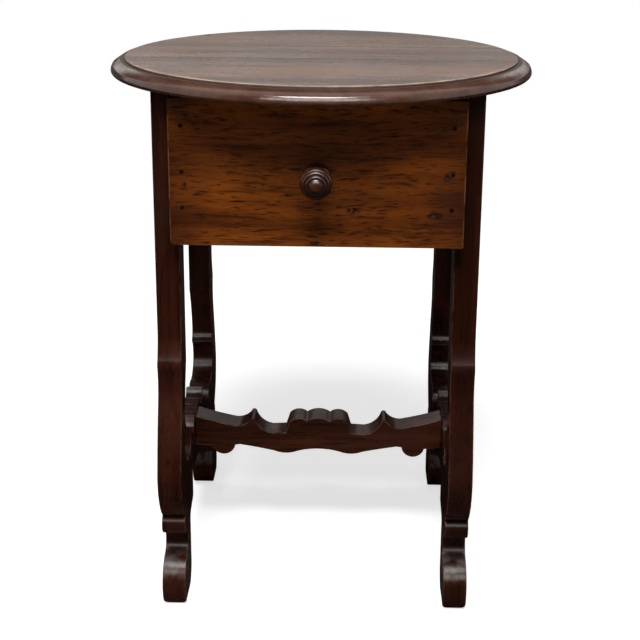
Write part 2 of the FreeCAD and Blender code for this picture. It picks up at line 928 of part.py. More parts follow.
def drawerBottomPanel():
    label = "drawer_bottom"
    halfWidth = drawerInner + size.grooveDepth - size.fitClearance
    front = frontBack - size.grooveDepth + size.fitClearance
    blank = block(f"{label}_panel", (-halfWidth, halfWidth), (front, drawerRear), bottomSpan)
    backMiddle = drawerRear - size.drawerBackThickness / 2
    for share in (-0.6, 0, 0.6):
        at = (drawerInner * share, backMiddle, bottomSpan[0])
        nail("drawer_bottom_nails", size.smallNailLength, at, (0, 0, 1), (label, "drawer_back"))
    return blank


def knob():
    # Turned rings; across runs outwards along -Y, up is the radius.
    body = doc.addObject("PartDesign::Body", "drawer_knob")
    sketch = newSketch(body, "YZ_Plane", "knob_profile")
    long = size.knobLength
    wide = size.knobRadius
    neck = size.knobNeckRadius
    foot = wide * 0.74
    start = (size.drawerFrontThickness, zero)
    steps = [
        ((size.drawerFrontThickness, size.knobTenonRadius),),
        ((zero, size.knobTenonRadius),),
        ((zero, foot),),
        ((-long * 0.1, wide * 0.9), (-long * 0.2, foot)),
        ((-long * 0.36, neck), (-long * 0.56, wide * 0.68)),
        ((-long * 0.6, wide * 0.84),),
        ((-long * 0.7, wide), (-long * 0.79, wide * 0.88)),
        ((-long * 0.795, wide * 0.79),),
        ((-long * 0.84, wide * 0.84), (-long * 0.885, wide * 0.71)),
        ((-long * 0.89, wide * 0.6),),
        ((-long * 0.925, wide * 0.62), (-long * 0.955, wide * 0.5)),
        ((-long * 0.958, wide * 0.41),),
        ((-long * 0.985, wide * 0.29), (-long, wide * 0.1)),
        ((-long, zero),),
        (start,),
    ]
    drawOutline(sketch, start, steps)
    turned = body.newObject("PartDesign::Revolution", "knob_turning")
    turned.Profile = sketch
    turned.ReferenceAxis = (sketch, ["H_Axis"])
    turned.Angle = 360
    place(body, zero, frontFace, knobHeight)
    return keep(body, "drawer_knob")


# Build order: neighbours add their cutters before a piece is carved
blanks = {}
for word, side in sides.items():
    blanks[f"apron_{word}"] = sideApron(word, side)
    blanks[f"side_stretcher_{word}"] = sideStretcher(word, side)
    for place_, rear in (("front", False), ("rear", True)):
        label = f"leg_{place_}_{word}"
        blanks[label] = legBlank(label, side, rear)
    runner = (apronInner - size.runnerWidth, apronInner)
    blanks[f"drawer_runner_{word}"] = block(
        f"drawer_runner_{word}_board",
        onSide(side, *runner),
        (-legBack, legBack),
        (apronBottom, drawerFloor),
    )
    for share in (-0.6, 0, 0.6):
        at = (runner[0] * side, legBack * share, (apronBottom + drawerFloor) / 2)
        pair = (f"drawer_runner_{word}", f"apron_{word}")
        nail("runner_nails", size.runnerNailLength, at, (side, 0, 0), pair)
    guide = block(
        f"drawer_guide_{word}",
        onSide(side, legInner, apronInner),
        (-legBack, legBack),
        (drawerFloor, drawerFloor + size.guideHeight),
    )
    keep(guide, f"drawer_guide_{word}")
    blanks[f"top_cleat_{word}"] = block(
        f"top_cleat_{word}_board",
        onSide(side, apronInner - size.cleatWidth, apronInner),
        (-legBack, legBack),
        (drawerCeiling, legTop),
    )
    blanks[f"drawer_side_{word}"] = drawerSide(word, side)
blanks["apron_back"] = backApron()
keep(frontRail("front_upper_rail", drawerCeiling, legTop), "front_upper_rail")
keep(frontRail("front_lower_rail", apronBottom, drawerFloor), "front_lower_rail")
crossStretcher()
blanks["drawer_front"] = drawerFrontBoard()
blanks["drawer_back"] = drawerBackBoard()
blanks["drawer_bottom"] = drawerBottomPanel()
knob()
topBoards()
for label, blank in blanks.items():
    carved(label, blank, cutters[label])
for group, pieces in groups.items():
    grouped(group, pieces)

# Check every object, then write the sub-parts
doc.recompute()
for item in doc.Objects:
    if "Invalid" in item.State or "Error" in item.State:
        raise RuntimeError(f"{item.Label} failed: {item.State}")
for label, (item, solids) in kept.items():
    shape = item.Shape
    if shape.isNull() or not shape.isValid():
        raise RuntimeError(f"{label} has no valid shape")
    if len(shape.Solids) != solids:
        raise RuntimeError(f"{label} has {len(shape.Solids)} solids, not {solids}")

os.makedirs("parts", exist_ok=True)
for label, (item, solids) in kept.items():
    item.Shape.exportStep(f"parts/{label}.step")
print(f"{len(kept)} sub-parts written")
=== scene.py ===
import bmesh
import bpy
import math
import random
from mathutils import Matrix, Vector
from mathutils.bvhtree import BVHTree


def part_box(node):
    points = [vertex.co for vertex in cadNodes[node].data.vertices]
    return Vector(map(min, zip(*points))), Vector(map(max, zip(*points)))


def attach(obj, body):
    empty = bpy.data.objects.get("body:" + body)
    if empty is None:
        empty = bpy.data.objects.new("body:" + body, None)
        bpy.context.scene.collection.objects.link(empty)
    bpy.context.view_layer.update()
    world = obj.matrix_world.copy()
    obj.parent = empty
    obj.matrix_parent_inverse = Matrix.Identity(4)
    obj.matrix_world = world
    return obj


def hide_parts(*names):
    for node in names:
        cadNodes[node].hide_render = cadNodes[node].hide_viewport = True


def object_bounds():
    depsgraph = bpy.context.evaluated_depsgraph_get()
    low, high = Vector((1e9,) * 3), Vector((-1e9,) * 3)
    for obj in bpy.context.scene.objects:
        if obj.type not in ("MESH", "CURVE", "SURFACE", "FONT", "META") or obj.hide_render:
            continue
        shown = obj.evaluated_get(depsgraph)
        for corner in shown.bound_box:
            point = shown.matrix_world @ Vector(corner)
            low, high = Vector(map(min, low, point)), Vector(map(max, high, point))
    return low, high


# Round side table with one drawer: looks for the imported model, in metres

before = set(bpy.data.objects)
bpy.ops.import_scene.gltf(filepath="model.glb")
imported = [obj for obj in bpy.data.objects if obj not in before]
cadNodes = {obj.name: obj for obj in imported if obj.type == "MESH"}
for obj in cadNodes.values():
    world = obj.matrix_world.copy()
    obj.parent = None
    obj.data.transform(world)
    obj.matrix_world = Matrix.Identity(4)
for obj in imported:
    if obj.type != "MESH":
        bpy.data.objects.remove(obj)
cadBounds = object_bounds()
scene = bpy.context.scene
scene.view_settings.view_transform = "Standard"
dice = random.Random(7)
print("frame loaded:", len(cadNodes), "nodes")


# Camera
cameraView = {
    "place": (0.035, -1.642, 0.914),
    "turn": 1.22,  # degrees, to the left
    "tilt": 16.31,  # degrees, downwards
    "roll": 0.43,
    "focalPixels": 1276,
    "pictureWidth": 640,
    "shiftY": -0.12,
}


def addCamera(view):
    data = bpy.data.cameras.new("tableCamera")
    data.sensor_width = 36
    data.lens = view["focalPixels"] / view["pictureWidth"] * data.sensor_width
    data.shift_y = view["shiftY"]
    data.clip_end = 100
    camera = bpy.data.objects.new("tableCamera", data)
    turn = Matrix.Rotation(math.radians(view["turn"]), 4, "Z")
    tilt = Matrix.Rotation(math.radians(90 - view["tilt"]), 4, "X")
    roll = Matrix.Rotation(math.radians(view["roll"]), 4, "Z")
    camera.matrix_world = Matrix.Translation(view["place"]) @ turn @ tilt @ roll
    scene.collection.objects.link(camera)
    scene.camera = camera


addCamera(cameraView)
print("camera set")


# Shader helpers
def newMaterial(name):
    material = bpy.data.materials.new(name)
    material.use_nodes = True
    tree = material.node_tree
    tree.nodes.clear()
    output = tree.nodes.new("ShaderNodeOutputMaterial")
    return material, tree, output


def socketOf(made, name):
    numbered = name[0] == "i" and name[1:].isdigit()
    return made.inputs[int(name[1:])] if numbered else made.inputs[name]


def addNode(tree, kind, options=None, **inputs):
    made = tree.nodes.new(kind)
    for name, value in (options or {}).items():
        setattr(made, name, value)
    for name, value in inputs.items():
        if isinstance(value, bpy.types.NodeSocket):
            tree.links.new(value, socketOf(made, name))
        else:
            socketOf(made, name).default_value = value
    return made


def noise(tree, vector, scale, detail=4, roughness=0.55):
    made = addNode(
        tree, "ShaderNodeTexNoise", Vector=vector, Scale=scale, Detail=detail, Roughness=roughness
    )
    return made.outputs["Fac"]


def stretch(tree, vector, scale):
    return addNode(tree, "ShaderNodeMapping", Vector=vector, Scale=scale).outputs["Vector"]


def axisOf(tree, place, axis):
    return addNode(tree, "ShaderNodeSeparateXYZ", Vector=place).outputs[axis]


def remap(tree, value, low, high, toLow=0.0, toHigh=1.0):
    made = addNode(tree, "ShaderNodeMapRange", {"interpolation_type": "SMOOTHSTEP"})
    tree.links.new(value, made.inputs["Value"])
    for name, number in zip(("From Min", "From Max", "To Min", "To Max"), (low, high, toLow, toHigh)):
        made.inputs[name].default_value = number
    return made.outputs["Result"]


def maths(tree, operation, first, second=0.0):
    return addNode(tree, "ShaderNodeMath", {"operation": operation}, i0=first, i1=second).outputs[0]


def vectorMaths(tree, operation, first, second=(0, 0, 0)):
    made = addNode(tree, "ShaderNodeVectorMath", {"operation": operation}, i0=first, i1=second)
    return made.outputs["Value" if operation == "LENGTH" else "Vector"]


def mixColour(tree, amount, first, second):
    made = tree.nodes.new("ShaderNodeMix")
    made.data_type = "RGBA"
    for index, value in ((0, amount), (6, first), (7, second)):
        if isinstance(value, bpy.types.NodeSocket):
            tree.links.new(value, made.inputs[index])
        elif index:
            made.inputs[index].default_value = (*value, 1)
        else:
            made.inputs[index].default_value = value
    return made.outputs[2]


# Waxed wood: broad bands, long streaks, short pores, cloudy wax and edges worn by hands, with painted
# highlight and shade where marked below
grainTurns = {"X": (0, 0, 0), "Y": (0, 0, -90), "Z": (0, 90, 0)}  # brings the grain on to X
grainScale = {  # per metre, along and across the grain
    "warp": (4, 16, 16),
    "bands": (1.4, 24, 24),
    "streaks": (6, 150, 150),
    "pores": (24, 480, 480),
    "ripple": (9, 25, 25),
    "clouds": 8,
    "margin": 40,
    "rubbedAndSheen": 60,
    "scuffAndHighlightSpots": 70,
    "holes": 260,
}
grainRange = {  # where each pattern starts and is full
    "bands": (0.32, 0.68),
    "streaks": (0.48, 0.7),
    "pores": (0.5, 0.68),
    "clouds": (0.45, 0.7),
    "gloss": (0.3, 0.75),
    "margin": (0.35, 0.62),
    "rubbedAndSheen": (0.38, 0.6),
    "scuffAndHighlightSpots": (0.36, 0.6),
    "holes": (0.35, 0.55),
}
waxGloss = {"shinier": 0.06, "duller": 0.08, "pores": 0.08}
waxRelief = {"ripple": 1.4, "pores": 0.35, "streaks": 0.5, "dirtAndShade": 0.7, "depth": 0.0006}
dirtAndShadeCover = {"grimeAndShade": 0.85, "markCore": 0.45}


def grainPatterns(tree, place, wood, grain):
    offset = [dice.uniform(-3, 3) for _ in range(3)]
    turn = [math.radians(angle) for angle in grainTurns[grain]]
    moved = addNode(tree, "ShaderNodeMapping", Vector=place, Location=offset, Rotation=turn)
    grained = moved.outputs["Vector"]
    warp = noise(tree, stretch(tree, grained, grainScale["warp"]), 1, 3)
    bend = addNode(tree, "ShaderNodeVectorMath", {"operation": "SCALE"}, i0=warp, Scale=wood["waviness"])
    waved = vectorMaths(tree, "ADD", grained, bend.outputs[0])
    finer = {}
    for pattern in ("streaks", "pores"):
        along, across, through = grainScale[pattern]
        finer[pattern] = (along * wood["fineness"], across, through)
    return {
        "grained": grained,
        "bands": noise(tree, stretch(tree, waved, grainScale["bands"]), 1, 3, 0.5),
        "streaks": noise(tree, stretch(tree, waved, finer["streaks"]), 1, 5, 0.6),
        "pores": noise(tree, stretch(tree, waved, finer["pores"]), 1, 3, 0.6),
        "clouds": noise(tree, grained, grainScale["clouds"], 4, 0.6),
        "ripple": noise(tree, stretch(tree, grained, grainScale["ripple"]), 1, 2),
    }


def grainColour(tree, wood, found):
    colour = mixColour(tree, remap(tree, found["bands"], *grainRange["bands"]), wood["dark"], wood["light"])
    for pattern, tint in (("streaks", "streak"), ("pores", "streak"), ("clouds", "cloud")):
        share = remap(tree, found[pattern], *grainRange[pattern], 0, wood[pattern])
        colour = mixColour(tree, share, colour, wood[tint])
    return colour


# Painted highlight: a band up the toe is painted paler, as real scuffs and as the highlight the toe catches
def toeScuffAndHighlight(tree, place, colour, wood):
    level = axisOf(tree, place, "Z")
    low, lower, upper, high = wood["scuffAndHighlightBand"]
    rising = remap(tree, level, low, lower)
    rubbedAndSheen = maths(tree, "MULTIPLY", rising, remap(tree, level, upper, high, 1, 0))
    spotty = remap(tree, noise(tree, place, grainScale["scuffAndHighlightSpots"], 4, 0.6), *grainRange["scuffAndHighlightSpots"])
    return mixColour(tree, maths(tree, "MULTIPLY", rubbedAndSheen, spotty), colour, wood["scuffAndHighlight"])


# Painted shade: darker towards both ends along X
def shadedEnds(tree, place, colour, wood):
    outward = maths(tree, "ABSOLUTE", axisOf(tree, place, "X"))
    return mixColour(tree, remap(tree, outward, *wood["ends"]), colour, wood["streak"])


def wornAndReflectionMargin(tree, place, colour, wood):
    # The raised field is painted pale along its front edge: rubbed wear, and a painted reflection along the
    # front
    reach = [(high - low) / 2 - wood["rimWidth"] for low, high in zip(*cadBounds)]
    share = stretch(tree, place, (1 / reach[0], 1 / reach[1], 0))
    outward = remap(tree, vectorMaths(tree, "LENGTH", share), *wood["margin"])
    speckle = noise(tree, place, grainScale["margin"], 4, 0.65)
    patchy = remap(tree, speckle, *grainRange["margin"], *wood["marginShare"])
    front = remap(tree, axisOf(tree, place, "Y"), *wood["marginReflectionFront"], 1, 0)
    margin = maths(tree, "MULTIPLY", outward, maths(tree, "MULTIPLY", patchy, front))
    return mixColour(tree, margin, colour, wood["wornAndSheen"])


def darkMarks(tree, place, marks):
    found = 0.0
    for centre, reach in marks:
        away = vectorMaths(tree, "SUBTRACT", place, centre)
        far = vectorMaths(tree, "LENGTH", vectorMaths(tree, "DIVIDE", away, reach))
        found = maths(tree, "MAXIMUM", remap(tree, far, dirtAndShadeCover["markCore"], 1, 1, 0), found)
    ragged = remap(tree, noise(tree, place, grainScale["holes"], 2), *grainRange["holes"])
    return maths(tree, "MULTIPLY", found, ragged)


def waxedWood(name, wood, grain, marks=()):
    material, tree, output = newMaterial(name)
    place = addNode(tree, "ShaderNodeTexCoord").outputs["Object"]
    found = grainPatterns(tree, place, wood, grain)
    colour = grainColour(tree, wood, found)
    shiny, dull = wood["roughness"] - waxGloss["shinier"], wood["roughness"] + waxGloss["duller"]
    gloss = remap(tree, found["clouds"], *grainRange["gloss"], shiny, dull)
    gloss = maths(tree, "ADD", gloss, maths(tree, "MULTIPLY", found["pores"], waxGloss["pores"]))
    # Paler toe band: scuffs and a painted highlight
    if "scuffAndHighlight" in wood:
        colour = toeScuffAndHighlight(tree, place, colour, wood)
    # Painted shade towards the ends of the drawer front
    if "ends" in wood:
        colour = shadedEnds(tree, place, colour, wood)
    # Rim colour, and the field's pale front margin: wear and a painted reflection
    if "rim" in wood:
        colour = wornAndReflectionMargin(tree, place, colour, wood)
        below = remap(tree, axisOf(tree, place, "Z"), *wood["rimLevel"], wood["rimCover"], 0)
        colour = mixColour(tree, below, colour, wood["rim"])
        gloss = maths(tree, "SUBTRACT", gloss, maths(tree, "MULTIPLY", below, wood["rimGloss"]))
    # Worn edges painted paler; on the cross stretcher this is painted highlight as well as wear
    wornAndSheen = addNode(tree, "ShaderNodeAttribute", {"attribute_name": "wear"}).outputs["Fac"]
    rubbedAndSheen = noise(tree, found["grained"], grainScale["rubbedAndSheen"], 3)
    patchy = remap(tree, rubbedAndSheen, *grainRange["rubbedAndSheen"], 0, wood["wear"])
    colour = mixColour(tree, maths(tree, "MULTIPLY", wornAndSheen, patchy), colour, wood["wornAndSheen"])
    # Dirt at board joints and in the knob's grooves, and painted shade in the rim's step, darken the colour
    grimeAndShade = addNode(tree, "ShaderNodeAttribute", {"attribute_name": "grimeAndShade"}).outputs["Fac"]
    holes = darkMarks(tree, place, marks) if marks else 0.0
    dirtAndShade = maths(tree, "MAXIMUM", maths(tree, "MULTIPLY", grimeAndShade, dirtAndShadeCover["grimeAndShade"]), holes)
    colour = mixColour(tree, dirtAndShade, colour, wood["grimeAndShade"])
    gloss = maths(tree, "ADD", gloss, maths(tree, "MULTIPLY", dirtAndShade, wood["dirtAndShadeDull"]))
    height = maths(tree, "MULTIPLY", found["ripple"], waxRelief["ripple"])
    for hollow, deep in ((found["pores"], "pores"), (found["streaks"], "streaks"), (dirtAndShade, "dirtAndShade")):
        height = maths(tree, "SUBTRACT", height, maths(tree, "MULTIPLY", hollow, waxRelief[deep]))
    bump = addNode(tree, "ShaderNodeBump", Strength=wood["bump"], Distance=waxRelief["depth"], Height=height)
    shader = addNode(tree, "ShaderNodeBsdfPrincipled", Roughness=gloss, Normal=bump.outputs["Normal"])
    tree.links.new(colour, shader.inputs["Base Color"])
    shader.inputs["Specular IOR Level"].default_value = wood["specular"]
    tree.links.new(shader.outputs[0], output.inputs[0])
    return material


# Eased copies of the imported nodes: the saw-sharp edges get a small worn round
easing = {"merge": 0.00002, "flatAngle": 0.004, "joinAngle": 0.3, "rayOut": 0.0001, "rayIn": 0.0005}


def roundable(edge, edges, walls):
    # Inner corners and the rims of peg holes and mortises stay sharp
    if not edge.is_manifold or not edge.is_convex:
        return False
    if edge.calc_face_angle(0) <= math.radians(edges["sharpAngle"]):
        return False
    if edge.calc_length() <= edges["shortest"]:
        return False
    middle = (edge.verts[0].co + edge.verts[1].co) / 2
    first, second = (face.normal for face in edge.link_faces)
    for outward, other in ((first, second), (second, first)):
        start = middle + outward * easing["rayOut"] - other * easing["rayIn"]
        if walls.ray_cast(start, outward, edges["clear"])[0] is not None:
            return False
    return True


def easedCopy(nodeName, edges, grimeAndShadeOf=None):
    made = bmesh.new()
    made.from_mesh(cadNodes[nodeName].data)
    bmesh.ops.remove_doubles(made, verts=made.verts, dist=easing["merge"])
    flat = [edge for edge in made.edges if edge.is_manifold and edge.calc_face_angle(0) < easing["flatAngle"]]
    bmesh.ops.beautify_fill(made, faces=made.faces, edges=flat, method=edges["split"])
    bmesh.ops.dissolve_limit(
        made, angle_limit=math.radians(easing["joinAngle"]), verts=made.verts, edges=made.edges,
        delimit={"NORMAL"},
    )
    made.normal_update()
    wear = made.faces.layers.float.new("wear")
    grimeAndShade = made.faces.layers.float.new("grimeAndShade")
    if grimeAndShadeOf:
        for face in made.faces:
            face[grimeAndShade] = grimeAndShadeOf(face)
    walls = BVHTree.FromBMesh(made)
    sharp = [edge for edge in made.edges if roundable(edge, edges, walls)]
    rounded = bmesh.ops.bevel(
        made, geom=sharp, offset=edges["round"], offset_type="OFFSET", segments=edges["segments"],
        profile=0.5, affect="EDGES", clamp_overlap=False, material=-1,
    )
    for face in rounded["faces"]:
        face[wear] = 1.0
    return made


def cutLevel(made, level):
    bmesh.ops.bisect_plane(
        made, geom=made.verts[:] + made.edges[:] + made.faces[:], dist=easing["merge"],
        plane_co=(0, 0, level), plane_no=(0, 0, 1),
    )


def finishPiece(made, name, nodeName, material, body, smoothAngle=40):
    mesh = bpy.data.meshes.new(name)
    made.to_mesh(mesh)
    made.free()
    mesh.materials.append(material)
    mesh.polygons.foreach_set("use_smooth", [True] * len(mesh.polygons))
    mesh.set_sharp_from_angle(angle=math.radians(smoothAngle))
    piece = bpy.data.objects.new(name, mesh)
    scene.collection.objects.link(piece)
    flatten = piece.modifiers.new("evenNormals", "WEIGHTED_NORMAL")
    flatten.keep_sharp = True
    flatten.weight = 80
    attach(piece, body)
    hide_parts(nodeName)


# Legs and stretchers, very dark
legWood = {
    "dark": (0.013, 0.0029, 0.0012),
    "light": (0.028, 0.0068, 0.0029),
    "streak": (0.004, 0.0012, 0.0008),
    "cloud": (0.02, 0.0065, 0.004),
    "wornAndSheen": (0.07, 0.027, 0.014),
    "grimeAndShade": (0.004, 0.002, 0.0015),
    "streaks": 0.65,
    "pores": 0.55,
    "clouds": 0.35,
    "wear": 0.6,
    "waviness": 0.02,
    "roughness": 0.17,
    "bump": 0.5,
    "specular": 0.14,
    "dirtAndShadeDull": 0.2,
    "fineness": 1.0,
    "scuffAndHighlight": (0.06, 0.046, 0.041),
    "scuffAndHighlightBand": (0.036, 0.046, 0.058, 0.066),  # rises of the toe band painted paler: scuffs, and a painted highlight
}
# The cross stretcher's paler worn edge colour is partly a painted highlight, for glints along its upper rim
crossWood = dict(
    legWood, dark=(0.03, 0.0078, 0.0032), light=(0.085, 0.0248, 0.0104), wornAndSheen=(0.15, 0.072, 0.044)
)
legEdges = {
    "round": 0.0012,
    "segments": 3,
    "sharpAngle": 35,
    "shortest": 0,
    "clear": 0.0115,  # open room that an edge needs in front of it
    "split": "ANGLE",
}
legSplits = {"leg_rear_right": "AREA"}  # keeps the round of this leg from folding
soleShape = {"round": 0.006, "levels": 5}
legGrain = {
    "leg_front_left": "Z",
    "leg_front_right": "Z",
    "leg_rear_left": "Z",
    "leg_rear_right": "Z",
    "side_stretcher_left": "Y",
    "side_stretcher_right": "Y",
    "cross_stretcher": "X",
}


def roundSole(made, sole):
    # Years of sliding on floors round the sides of the foot
    for step in range(1, sole["levels"] + 1):
        cutLevel(made, sole["round"] * (1 - math.cos(math.pi / 2 * step / sole["levels"])))
    foot = [vert for vert in made.verts if vert.co.z < sole["round"]]
    near, far = min(vert.co.x for vert in foot), max(vert.co.x for vert in foot)
    for vert in foot:
        lack = 1 - vert.co.z / sole["round"]
        shrink = sole["round"] * (1 - math.sqrt(max(0, 1 - lack * lack))) / ((far - near) / 2)
        vert.co.x += ((near + far) / 2 - vert.co.x) * shrink


for nodeName, grain in legGrain.items():
    finish = waxedWood(nodeName + "_wax", crossWood if nodeName == "cross_stretcher" else legWood, grain)
    piece = easedCopy(nodeName, dict(legEdges, split=legSplits.get(nodeName, legEdges["split"])))
    if nodeName.startswith("leg_"):
        roundSole(piece, soleShape)
    finishPiece(piece, nodeName + "_eased", nodeName, finish, "frame")
print("legs and stretchers eased:", len(legGrain))


# Top boards, worn and greyer, with painted shade as a dark line in the step of the rim
topWood = {
    "dark": (0.025, 0.01, 0.005),
    "light": (0.093, 0.0445, 0.025),
    "streak": (0.011, 0.004, 0.002),
    "cloud": (0.1, 0.056, 0.036),
    "wornAndSheen": (0.3, 0.19, 0.125),
    "grimeAndShade": (0.012, 0.006, 0.004),
    "streaks": 1.0,
    "pores": 0.85,
    "clouds": 0.3,
    "wear": 0.7,
    "waviness": 0.012,
    "roughness": 0.24,
    "bump": 0.6,
    "specular": 0.42,
    "dirtAndShadeDull": 0.45,
    "fineness": 1.0,
    "rim": (0.026, 0.006, 0.0024),
    "rimLevel": (0.6852, 0.6856),
    "rimCover": 0.92,
    "rimWidth": 0.018,
    "rimGloss": 0.14,
    "margin": (0.965, 0.995),  # shares of the way out to the step
    "marginShare": (0.2, 0.9),
    "marginReflectionFront": (-0.22, -0.05),
}
topEdges = dict(legEdges, round=0.0006, segments=2, sharpAngle=50, clear=0.008)
boardJoints = {"places": (-0.044, 0.072), "width": 0.0012, "level": 0.687}
jointReach = (0.3, 0.0016, 0.003)
topMarks = [((0, place, boardJoints["level"]), jointReach) for place in boardJoints["places"]]
topMarks.append(((-0.165, 0.18, boardJoints["level"]), (0.005, 0.008, 0.003)))  # one stain
rimStep = {
    "drop": 0.0025,
    "near": 0.0002,
    "upright": 0.3,
    "level": 0.98,
    "largestFace": 0.0004,
    "ledgeGrime": 0.9,
}
noseShape = {
    "radius": 0.0135, "middle": 0.6704, "foot": 0.6692, "head": 0.6785, "levels": 8, "spare": 0.0001,
}


# Painted shade: the riser of the rim's step, and a little less the ledge at its foot, are painted dark as the
# shade in the step
def rimStepShade(face):
    drop = cadBounds[1][2] - face.calc_center_median().z
    upright = abs(face.normal.z) < rimStep["upright"] and face.calc_area() < rimStep["largestFace"]
    if upright and 0 < drop < rimStep["drop"]:
        return 1.0
    if face.normal.z > rimStep["level"] and abs(drop - rimStep["drop"]) < rimStep["near"]:
        return rimStep["ledgeGrime"]
    return 0.0


def roundNose(made, nose):
    # The square edge under the slope is rubbed to a round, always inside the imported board
    low, high = cadBounds
    reachX, reachY = (high[0] - low[0]) / 2, (high[1] - low[1]) / 2
    for step in range(nose["levels"] + 1):
        cutLevel(made, nose["foot"] + (nose["head"] - nose["foot"]) * step / nose["levels"])
    for vert in made.verts:
        rise = abs(vert.co.z - nose["middle"])
        if not nose["foot"] - nose["spare"] < vert.co.z < nose["head"] + nose["spare"]:
            continue
        inset = nose["radius"] - math.sqrt(nose["radius"] ** 2 - rise ** 2)
        share = math.hypot(vert.co.x / reachX, vert.co.y / reachY)
        most = 1 - inset / ((reachX + reachY) / 2)
        if share > most:
            vert.co.x *= most / share
            vert.co.y *= most / share


def dirtyJoints(made, joints):
    # Dirt, not wear, sits where two boards meet
    wear = made.faces.layers.float["wear"]
    grimeAndShade = made.faces.layers.float["grimeAndShade"]
    for face in made.faces:
        away = min(abs(face.calc_center_median().y - place) for place in joints["places"])
        if face[wear] and away < joints["width"]:
            face[wear] = 0.0
            face[grimeAndShade] = 1.0


boardNames = ("top_board_front", "top_board_middle", "top_board_back")
for boardName in boardNames:
    finish = waxedWood(boardName + "_wax", topWood, "X", topMarks)
    board = easedCopy(boardName, topEdges, rimStepShade)
    dirtyJoints(board, boardJoints)
    roundNose(board, noseShape)
    finishPiece(board, boardName + "_eased", boardName, finish, "frame")
print("top boards eased:", len(boardNames))


# Drawer front, warmer, with old nail holes and gouges, and painted shade towards its ends
drawerWood = {
    "dark": (0.032, 0.0064, 0.0007),
    "light": (0.158, 0.0385, 0.0028),
    "streak": (0.013, 0.0027, 0.0006),
    "cloud": (0.03, 0.0062, 0.001),
    "wornAndSheen": (0.15, 0.058, 0.022),
    "grimeAndShade": (0.004, 0.002, 0.0015),
    "streaks": 0.7,
    "pores": 0.95,
    "clouds": 0.45,
    "wear": 0.6,
    "waviness": 0.035,
    "roughness": 0.34,
    "bump": 0.5,
    "specular": 0.08,
    "dirtAndShadeDull": 0.1,
    "fineness": 2.0,  # shorter streaks and pores
}
# Painted shade towards both ends of the drawer front
frontWood = dict(drawerWood, ends=(0.1, 0.19, 0, 0.7))
drawerEdges = dict(legEdges, round=0.0016, shortest=0.012, clear=0.012)
gouges = {"face": -0.1965, "depth": 0.01}
gougePlaces = [  # across, height, half width and half height
    (-0.152, 0.642, 0.004, 0.0035),
    (-0.155, 0.56, 0.003, 0.005),
    (0.147, 0.627, 0.004, 0.003),
    (0.152, 0.572, 0.006, 0.007),
    (0.139, 0.526, 0.013, 0.006),
    (0.042, 0.531, 0.011, 0.005),
]
drawerMarks = [((x, gouges["face"], z), (wide, gouges["depth"], tall)) for x, z, wide, tall in gougePlaces]
cornerChip = {"piece": "drawer_front", "reach": (0.0075, 0.005, 0.0055), "merge": 0.00001}


def chipCorner(made, chip):
    # A splinter is gone from the lower left corner
    low = Vector(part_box(chip["piece"])[0])
    slant = Vector([-1 / reach for reach in chip["reach"]])
    bmesh.ops.bisect_plane(
        made, geom=made.verts[:] + made.edges[:] + made.faces[:], dist=chip["merge"],
        plane_co=low + Vector((chip["reach"][0], 0, 0)), plane_no=slant, clear_outer=True,
    )
    bmesh.ops.holes_fill(made, edges=[edge for edge in made.edges if edge.is_boundary])


drawerFinish = waxedWood("drawer_front_wax", frontWood, "X", drawerMarks)
drawerFront = easedCopy("drawer_front", drawerEdges)
chipCorner(drawerFront, cornerChip)
finishPiece(drawerFront, "drawer_front_eased", "drawer_front", drawerFinish, "drawer")
print("drawer front eased")


# Knob, glossy, with dirt in its grooves
knobWood = dict(
    drawerWood, dark=(0.028, 0.007, 0.003), light=(0.058, 0.016, 0.006), roughness=0.13, specular=0.42,
    streaks=0.25, pores=0.25, clouds=0.2, bump=0.2, dirtAndShadeDull=0.0,
)
knobEdges = dict(legEdges, round=0.0003, segments=2, clear=0.0004)
knobGrooves = {
    "rises": (0.0106, 0.0305, 0.042, 0.047, 0.0507),  # from the drawer's face
    "width": 0.0012,
}
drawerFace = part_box("drawer_front")[0][1]


def grooveGrime(face):
    rise = drawerFace - face.calc_center_median().y
    nearest = min(abs(rise - groove) for groove in knobGrooves["rises"])
    return max(0.0, 1 - nearest / knobGrooves["width"])


knobFinish = waxedWood("drawer_knob_wax", knobWood, "Y")
knob = easedCopy("drawer_knob", knobEdges, grooveGrime)
finishPiece(knob, "drawer_knob_eased", "drawer_knob", knobFinish, "drawer", smoothAngle=30)
print("knob eased")


# Wood inside the table, and the aprons and rails around it
plainWood = dict(
    drawerWood, dark=(0.15, 0.085, 0.045), light=(0.25, 0.155, 0.085), streak=(0.1, 0.055, 0.03),
    cloud=(0.2, 0.13, 0.08), wornAndSheen=(0.3, 0.19, 0.125), roughness=0.62, specular=0.2, streaks=0.4,
)
plainEdges = dict(legEdges, round=0.0008, segments=2)
plainGrain = {
    "apron_left": "Y",
    "apron_right": "Y",
    "apron_back": "X",
    "front_upper_rail": "X",
    "front_lower_rail": "X",
    "drawer_runner_left": "Y",
    "drawer_runner_right": "Y",
    "drawer_guide_left": "Y",
    "drawer_guide_right": "Y",
    "top_cleat_left": "Y",
    "top_cleat_right": "Y",
    "drawer_side_left": "Y",
    "drawer_side_right": "Y",
    "drawer_back": "X",
    "drawer_bottom": "X",
}
outsideDark = ("apron_left", "apron_right", "apron_back", "front_upper_rail", "front_lower_rail")
drawerBox = ("drawer_side_left", "drawer_side_right", "drawer_back", "drawer_bottom")
for nodeName, grain in plainGrain.items():
    dark = nodeName in outsideDark
    finish = waxedWood(nodeName + "_wood", legWood if dark else plainWood, grain)
    body = "drawer" if nodeName in drawerBox else "frame"
    finishPiece(easedCopy(nodeName, plainEdges), nodeName + "_eased", nodeName, finish, body)
print("plain wood eased:", len(plainGrain))


